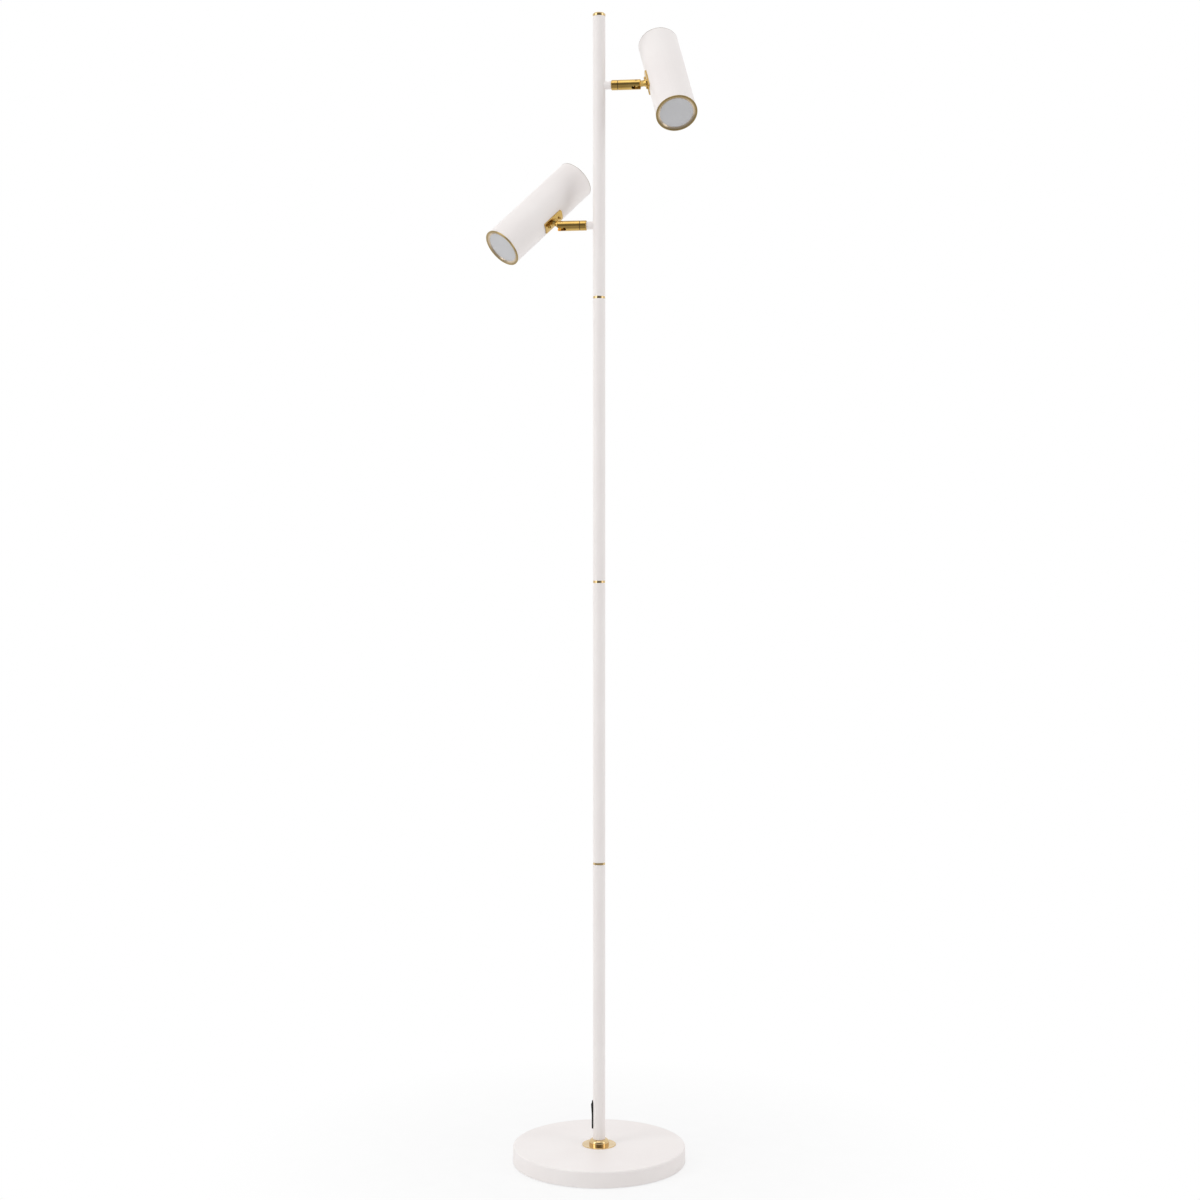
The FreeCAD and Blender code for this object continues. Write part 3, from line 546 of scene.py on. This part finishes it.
def cast_iron():
    """Sand-cast iron under a thin dark primer."""
    return grained(
        "primed_cast_iron",
        colours=((58, 58, 60), (82, 80, 79)),
        span=NARROW_SPAN,
        grain=(420, 6),
        rough=(0.62, 0.80),
        relief=(0.6, 0.0006),
    )


def nylon():
    return grained(
        "brown_nylon",
        colours=((66, 50, 26), (78, 60, 34)),
        grain=(700, 2),
        rough=(0.45, 0.6),
        relief=(0.1, 0.00005),
    )


def lead_sleeve():
    return grained(
        "grey_sleeve",
        colours=((214, 213, 210), (206, 205, 202)),
        grain=(900, 2),
        rough=(0.42, 0.56),
        relief=(0.15, 0.00005),
    )


def milled_aluminium():
    """Bare aluminium with the fine cuts of a mill."""
    return grained(
        "milled_aluminium",
        colours=((196, 198, 201), (210, 211, 213)),
        tone=(160, 2),
        grain=(1900, 3),
        rough=(0.32, 0.46),
        relief=(0.2, 0.00005),
        Metallic=1.0,
    )


def solder_mask():
    return grained(
        "white_solder_mask",
        colours=((240, 240, 236), (233, 233, 229)),
        grain=(600, 2),
        rough=(0.22, 0.34),
        relief=(0.08, 0.00005),
    )


def driver_plastic():
    return grained(
        "driver_plastic",
        colours=((233, 233, 231), (226, 226, 224)),
        grain=(1800, 2),
        rough=(0.48, 0.62),
        relief=(0.2, 0.00008),
    )


def slot_materials():
    """The finish of each of the record's material slots that its pieces share."""
    return {
        "white_powder": powder_coat(),
        "brass": pressed_brass(),
        "cast_iron": cast_iron(),
        "pad_rubber": foam_rubber(),
        "zinc_steel": zinc_steel(),
        "black_plastic": black_plastic(),
        "washer_nylon": nylon(),
        "lead_sleeve": lead_sleeve(),
        "diffuser_opal": opal_acrylic(),
        "bare_aluminium": milled_aluminium(),
        "board_white": solder_mask(),
        "driver_case": driver_plastic(),
    }


def own_materials(spots):
    """Finishes of single pieces, most with marks that run round the piece's own axis."""
    up, across = (0, 0, 1), (1, 0, 0)
    pole_tones = ((222, 194, 144), (207, 177, 124))
    arm_tones = ((209, 174, 99), (195, 158, 83))
    pole_brass = turned_brass("pole_brass", (0, 0, 0), up, pole_tones)
    pole_trim = ("base_flange", "pole_ring_1", "pole_ring_2", "pole_ring_3", "top_cap")
    chosen = {node: pole_brass for node in pole_trim}
    rear_edge = satin_edge()
    for name, spot in spots.items():
        middle, front = spot.translation, spot.col[2].to_3d()
        height = joints[f"{name}_swivel"]["pos_m"][2]
        arm_brass = turned_brass(f"{name}_arm_brass", (0, 0, height), across, arm_tones)
        chosen[f"{name}_collar"] = arm_brass
        chosen[f"{name}_barrel"] = arm_brass
        chosen[f"{name}_reflector"] = spun_aluminium(f"{name}_spun_aluminium", middle, front)
        chosen[f"{name}_rear_ring"] = rear_edge
    return chosen


def dress_nodes(spots):
    """Give every node of the frame its finish, and return the shared ones by slot."""
    by_slot, own = slot_materials(), own_materials(spots)
    for row in frame["record"]["subparts"]:
        chosen = own.get(row["node"]) or by_slot[row["material_slot"]]
        for slot in nodes[row["node"]].material_slots:
            slot.material = chosen
    return by_slot


# --- Pieces with finer shapes -------------------------------------------------------------


def head_places():
    """Each tilted head's frame at its pivot: Z to the spotlight, Y to the spotlight's front."""
    places = {}
    for name, side in SIDES.items():
        joint = joints[f"{name}_tilt"]
        across = Vector(joint["axis"])
        outwards = Vector((side, 0, 0))
        turn = Matrix.Rotation(math.radians(TILTS[name]), 3, across)
        columns = (across, turn @ outwards.cross(across), turn @ outwards)
        place = Matrix(columns).transposed().to_4x4()
        place.translation = Vector(joint["pos_m"])
        places[name] = place
    return places


def spot_place(head):
    """The frame on a spotlight's own axis: Z to its front."""
    return head @ Matrix.Translation((0, 0, SPOT_OFFSET)) @ Matrix.Rotation(-math.pi / 2, 4, "X")


def circle(radius):
    return [radius] * TURNS


def hexagon(across_flats):
    """The distance from the middle to a hexagon's edge at each step of a turn."""
    steps = [math.radians(360 * step / TURNS % 60 - 30) for step in range(TURNS)]
    return [across_flats / 2 / math.cos(angle) for angle in steps]


def arc(centre, radius, start, end, count=6):
    """Points (radius, height) of a profile's round stretch, between two angles."""
    angles = [math.radians(start + (end - start) * step / (count - 1)) for step in range(count)]
    return [(centre[0] + radius * math.cos(a), centre[1] + radius * math.sin(a)) for a in angles]


def add_loops(work, loops, place, ring=False):
    """Skin a mesh through loops of radii at heights, joined end to end if it is a ring."""
    rows = []
    for radii, height in loops:
        row = []
        for step, radius in enumerate(radii):
            angle = 2 * math.pi * step / TURNS
            point = Vector((radius * math.cos(angle), radius * math.sin(angle), height))
            row.append(work.verts.new(place @ point))
        rows.append(row)
    pairs = list(zip(rows, rows[1:]))
    if ring:
        pairs.append((rows[-1], rows[0]))
    else:
        work.faces.new(rows[0])
        work.faces.new(rows[-1])
    for low, high in pairs:
        for step in range(TURNS):
            after = (step + 1) % TURNS
            work.faces.new((low[step], low[after], high[after], high[step]))


def finish_piece(work, name, material, body, node):
    """Turn the work mesh into a piece that moves with a body in place of a node."""
    bmesh.ops.recalc_face_normals(work, faces=work.faces)
    mesh = bpy.data.meshes.new(name)
    work.to_mesh(mesh)
    work.free()
    for face in mesh.polygons:
        face.use_smooth = True
    mesh.set_sharp_from_angle(angle=math.radians(SHARP_EDGE))
    mesh.materials.append(material)
    piece = bpy.data.objects.new(name, mesh)
    bpy.context.scene.collection.objects.link(piece)
    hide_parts(node)
    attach(piece, body)


def make_turned_ring(profile, place, name, material, body, node):
    """Turn a closed profile of (radius, height) points into a finished piece."""
    work = bmesh.new()
    add_loops(work, [(circle(radius), height) for radius, height in profile], place, ring=True)
    finish_piece(work, name, material, body, node)


def make_bezel(name, spot):
    """The front ring, with a rolled outer rim, a crisp sloping lip and the sleeve behind it."""
    front, seam = SPOT_FRONT, SPOT_FRONT - BEZEL_LENGTH
    sleeve = SPOT_RADIUS - SPOT_WALL - FIT_GAP
    slope_top = BEZEL_RADIUS - BEZEL_RIM
    roll, ease = BEZEL_ROLL, BEZEL_EASE
    profile = [
        (BEZEL_WINDOW, front - BEZEL_SLOPE - ease),
        (BEZEL_WINDOW + ease, front - BEZEL_SLOPE),
        (slope_top - ease, front - ease),
        (slope_top + ease, front),
        *arc((BEZEL_RADIUS - roll, front - roll), roll, 90, 0),
        (BEZEL_RADIUS, seam + ease),
        (BEZEL_RADIUS - ease, seam),
        (sleeve, seam),
        (sleeve, seam - BEZEL_SLEEVE + ease),
        (sleeve - ease, seam - BEZEL_SLEEVE),
        (BEZEL_SEAT, seam - BEZEL_SLEEVE),
        (BEZEL_SEAT, front - BEZEL_LIP),
        (BEZEL_WINDOW, front - BEZEL_LIP),
    ]
    metal = bezel_brass_painted_light(f"{name}_bezel_brass_painted_light", spot.translation, spot.col[2].to_3d())
    make_turned_ring(
        profile, spot, f"{name}_bezel_ring", metal, f"{name}_head", f"{name}_bezel"
    )


def make_screws(name, head, metal):
    """Two dome-headed screws with hexagon sockets, seated on the saddle plate."""
    seat = SPOT_OFFSET - SPOT_RADIUS - PLATE_THICKNESS
    crown = seat - HEAD_HEIGHT
    brow = SOCKET_WIDTH / 2 * BROW_RATIO
    socket = [
        (hexagon(SOCKET_WIDTH * SOCKET_FLOOR), crown + SOCKET_DEPTH),
        (hexagon(SOCKET_WIDTH), crown + SOCKET_DEPTH * SOCKET_TAPER),
        (hexagon(SOCKET_WIDTH), crown + SOCKET_EASE),
        (hexagon(SOCKET_WIDTH * SOCKET_FLARE), crown),
        (circle(brow), crown + BROW_DROP),
    ]
    dome = []
    for degrees in DOME_ANGLES:
        angle = math.radians(degrees)
        reach = brow + (HEAD_RADIUS - HEAD_SKIRT - brow) * math.sin(angle)
        rise = (HEAD_HEIGHT - HEAD_SKIRT) * math.cos(angle) ** DOME_POWER
        dome.append((circle(reach), seat - rise - HEAD_SKIRT))
    shank = [
        (circle(HEAD_RADIUS), seat - HEAD_EDGE),
        (circle(HEAD_RADIUS), seat),
        (circle(SCREW_RADIUS), seat),
        (circle(SCREW_RADIUS), SCREW_END - SCREW_TIP),
        (circle(SCREW_RADIUS - SCREW_TIP), SCREW_END),
    ]
    work = bmesh.new()
    for sign in (1, -1):
        place = head @ Matrix.Translation((0, sign * SCREW_PITCH / 2, 0))
        add_loops(work, socket + dome + shank, place)
    node = f"{name}_saddle_screws"
    finish_piece(work, f"{name}_socket_screws", metal, f"{name}_head", node)


def make_gland(material):
    """The bush in the rear wall, with a bell mouth and a ribbed grip inside."""
    place = Matrix.Translation((0, 0, GLAND_HEIGHT)) @ Matrix.Rotation(-math.pi / 2, 4, "X")
    wall = BASE_RADIUS
    inside = wall - COVER_WALL - GLAND_PLAY
    back = inside - GLAND_INSIDE
    mouth = wall + GLAND_LIP
    profile = [(GLAND_BORE, back), (GLAND_FLANGE - GLAND_TAPER, back)]
    for rib in range(RIBS):
        low = back + GLAND_STEP + rib * RIB_PITCH
        swell = GLAND_FLANGE - RIB_SETBACK + rib * RIB_GROWTH
        profile.append((swell, low))
        profile.append((swell, low + RIB_LENGTH))
        profile.append((swell - RIB_DEPTH, low + RIB_LENGTH + RIB_SLOPE))
    profile += [
        (GLAND_FLANGE, inside - GLAND_STEP),
        (GLAND_FLANGE, inside),
        (GLAND_NECK, inside),
        (GLAND_NECK, wall),
        (GLAND_FLANGE, wall),
        (GLAND_FLANGE, mouth - GLAND_RIM),
        *arc((GLAND_FLANGE - GLAND_ROUND, mouth - GLAND_ROUND), GLAND_ROUND, 0, 90),
        *arc((GLAND_BORE + GLAND_BELL, mouth - GLAND_BELL), GLAND_BELL, 90, 180),
    ]
    make_turned_ring(profile, place, "gland_bush", material, "stand", "cord_gland")


# --- The scene ----------------------------------------------------------------------------

bpy.context.scene.view_settings.view_transform = "Standard"
make_camera()
make_floor()
make_world()
for row in SOFTBOXES:
    softbox(*row)
heads = head_places()
spots = {name: spot_place(head) for name, head in heads.items()}
materials = dress_nodes(spots)
for name, head in heads.items():
    make_bezel(name, spots[name])
    make_screws(name, head, materials["brass"])
make_gland(materials["black_plastic"])
